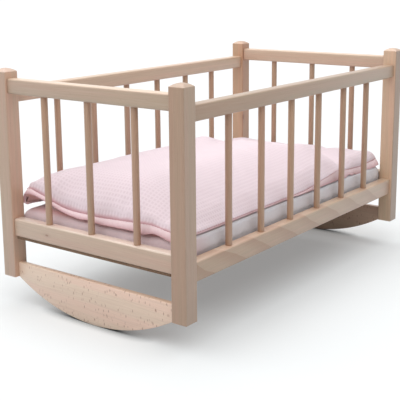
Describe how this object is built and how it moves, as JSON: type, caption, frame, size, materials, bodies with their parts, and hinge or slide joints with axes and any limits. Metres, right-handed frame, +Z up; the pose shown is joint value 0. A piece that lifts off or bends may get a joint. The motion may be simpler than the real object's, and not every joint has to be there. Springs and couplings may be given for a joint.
{
  "type": "doll cradle",
  "caption": "Rocking doll cradle in clear-finished beech: square posts, flat rails, round spindles, a rocker at each end, and a mattress, duvet and pillow that lift out.",
  "frame": {"origin": "on the floor, under the middle of the cradle, where the two rockers rest when it stands level", "axes": "+X from the foot end to the head end (the pillow), +Y across the cradle, +Z up"},
  "size_m": [0.54, 0.3, 0.3052],
  "materials": {
    "beech": "pale beech, thin clear satin varnish, grain along each piece",
    "peg_wood": "bare turned beech",
    "hardboard": "brown pressed hardboard, smooth face up",
    "nail_steel": "bright steel panel nail",
    "mattress_cover": "plain white woven cotton",
    "pink_cover": "pale pink waffle cotton with stitched hems"
  },
  "bodies": {
    "frame": {"base_board": "hardboard", "board_nail_foot_1": "nail_steel", "board_nail_foot_2": "nail_steel", "board_nail_head_1": "nail_steel", "board_nail_head_2": "nail_steel", "end_bottom_peg_foot_back": "peg_wood", "end_bottom_peg_foot_front": "peg_wood", "end_bottom_peg_head_back": "peg_wood", "end_bottom_peg_head_front": "peg_wood", "end_bottom_rail_foot": "beech", "end_bottom_rail_head": "beech", "end_spindle_foot_1": "beech", "end_spindle_foot_2": "beech", "end_spindle_foot_3": "beech", "end_spindle_head_1": "beech", "end_spindle_head_2": "beech", "end_spindle_head_3": "beech", "end_top_peg_foot_back": "peg_wood", "end_top_peg_foot_front": "peg_wood", "end_top_peg_head_back": "peg_wood", "end_top_peg_head_front": "peg_wood", "end_top_rail_foot": "beech", "end_top_rail_head": "beech", "post_foot_back": "beech", "post_foot_front": "beech", "post_head_back": "beech", "post_head_front": "beech", "rocker_foot": "beech", "rocker_head": "beech", "rocker_peg_foot_back": "peg_wood", "rocker_peg_foot_front": "peg_wood", "rocker_peg_head_back": "peg_wood", "rocker_peg_head_front": "peg_wood", "side_bottom_peg_foot_back": "peg_wood", "side_bottom_peg_foot_front": "peg_wood", "side_bottom_peg_head_back": "peg_wood", "side_bottom_peg_head_front": "peg_wood", "side_bottom_rail_back": "beech", "side_bottom_rail_front": "beech", "side_spindle_back_1": "beech", "side_spindle_back_2": "beech", "side_spindle_back_3": "beech", "side_spindle_back_4": "beech", "side_spindle_back_5": "beech", "side_spindle_back_6": "beech", "side_spindle_front_1": "beech", "side_spindle_front_2": "beech", "side_spindle_front_3": "beech", "side_spindle_front_4": "beech", "side_spindle_front_5": "beech", "side_spindle_front_6": "beech", "side_top_peg_foot_back": "peg_wood", "side_top_peg_foot_front": "peg_wood", "side_top_peg_head_back": "peg_wood", "side_top_peg_head_front": "peg_wood", "side_top_rail_back": "beech", "side_top_rail_front": "beech"},
    "mattress": {"mattress": "mattress_cover"},
    "duvet": {"duvet": "pink_cover"},
    "pillow": {"pillow": "pink_cover"}
  },
  "joints": [
    {"name": "mattress_lift", "type": "slide", "parent": "frame", "child": "mattress", "axis": [0, 0, 1], "range_m": [0, 0.24]},
    {"name": "duvet_lift", "type": "slide", "parent": "mattress", "child": "duvet", "axis": [0, 0, 1], "range_m": [0, 0.2]},
    {"name": "pillow_lift", "type": "slide", "parent": "mattress", "child": "pillow", "axis": [0, 0, 1], "range_m": [0, 0.2]}
  ]
}
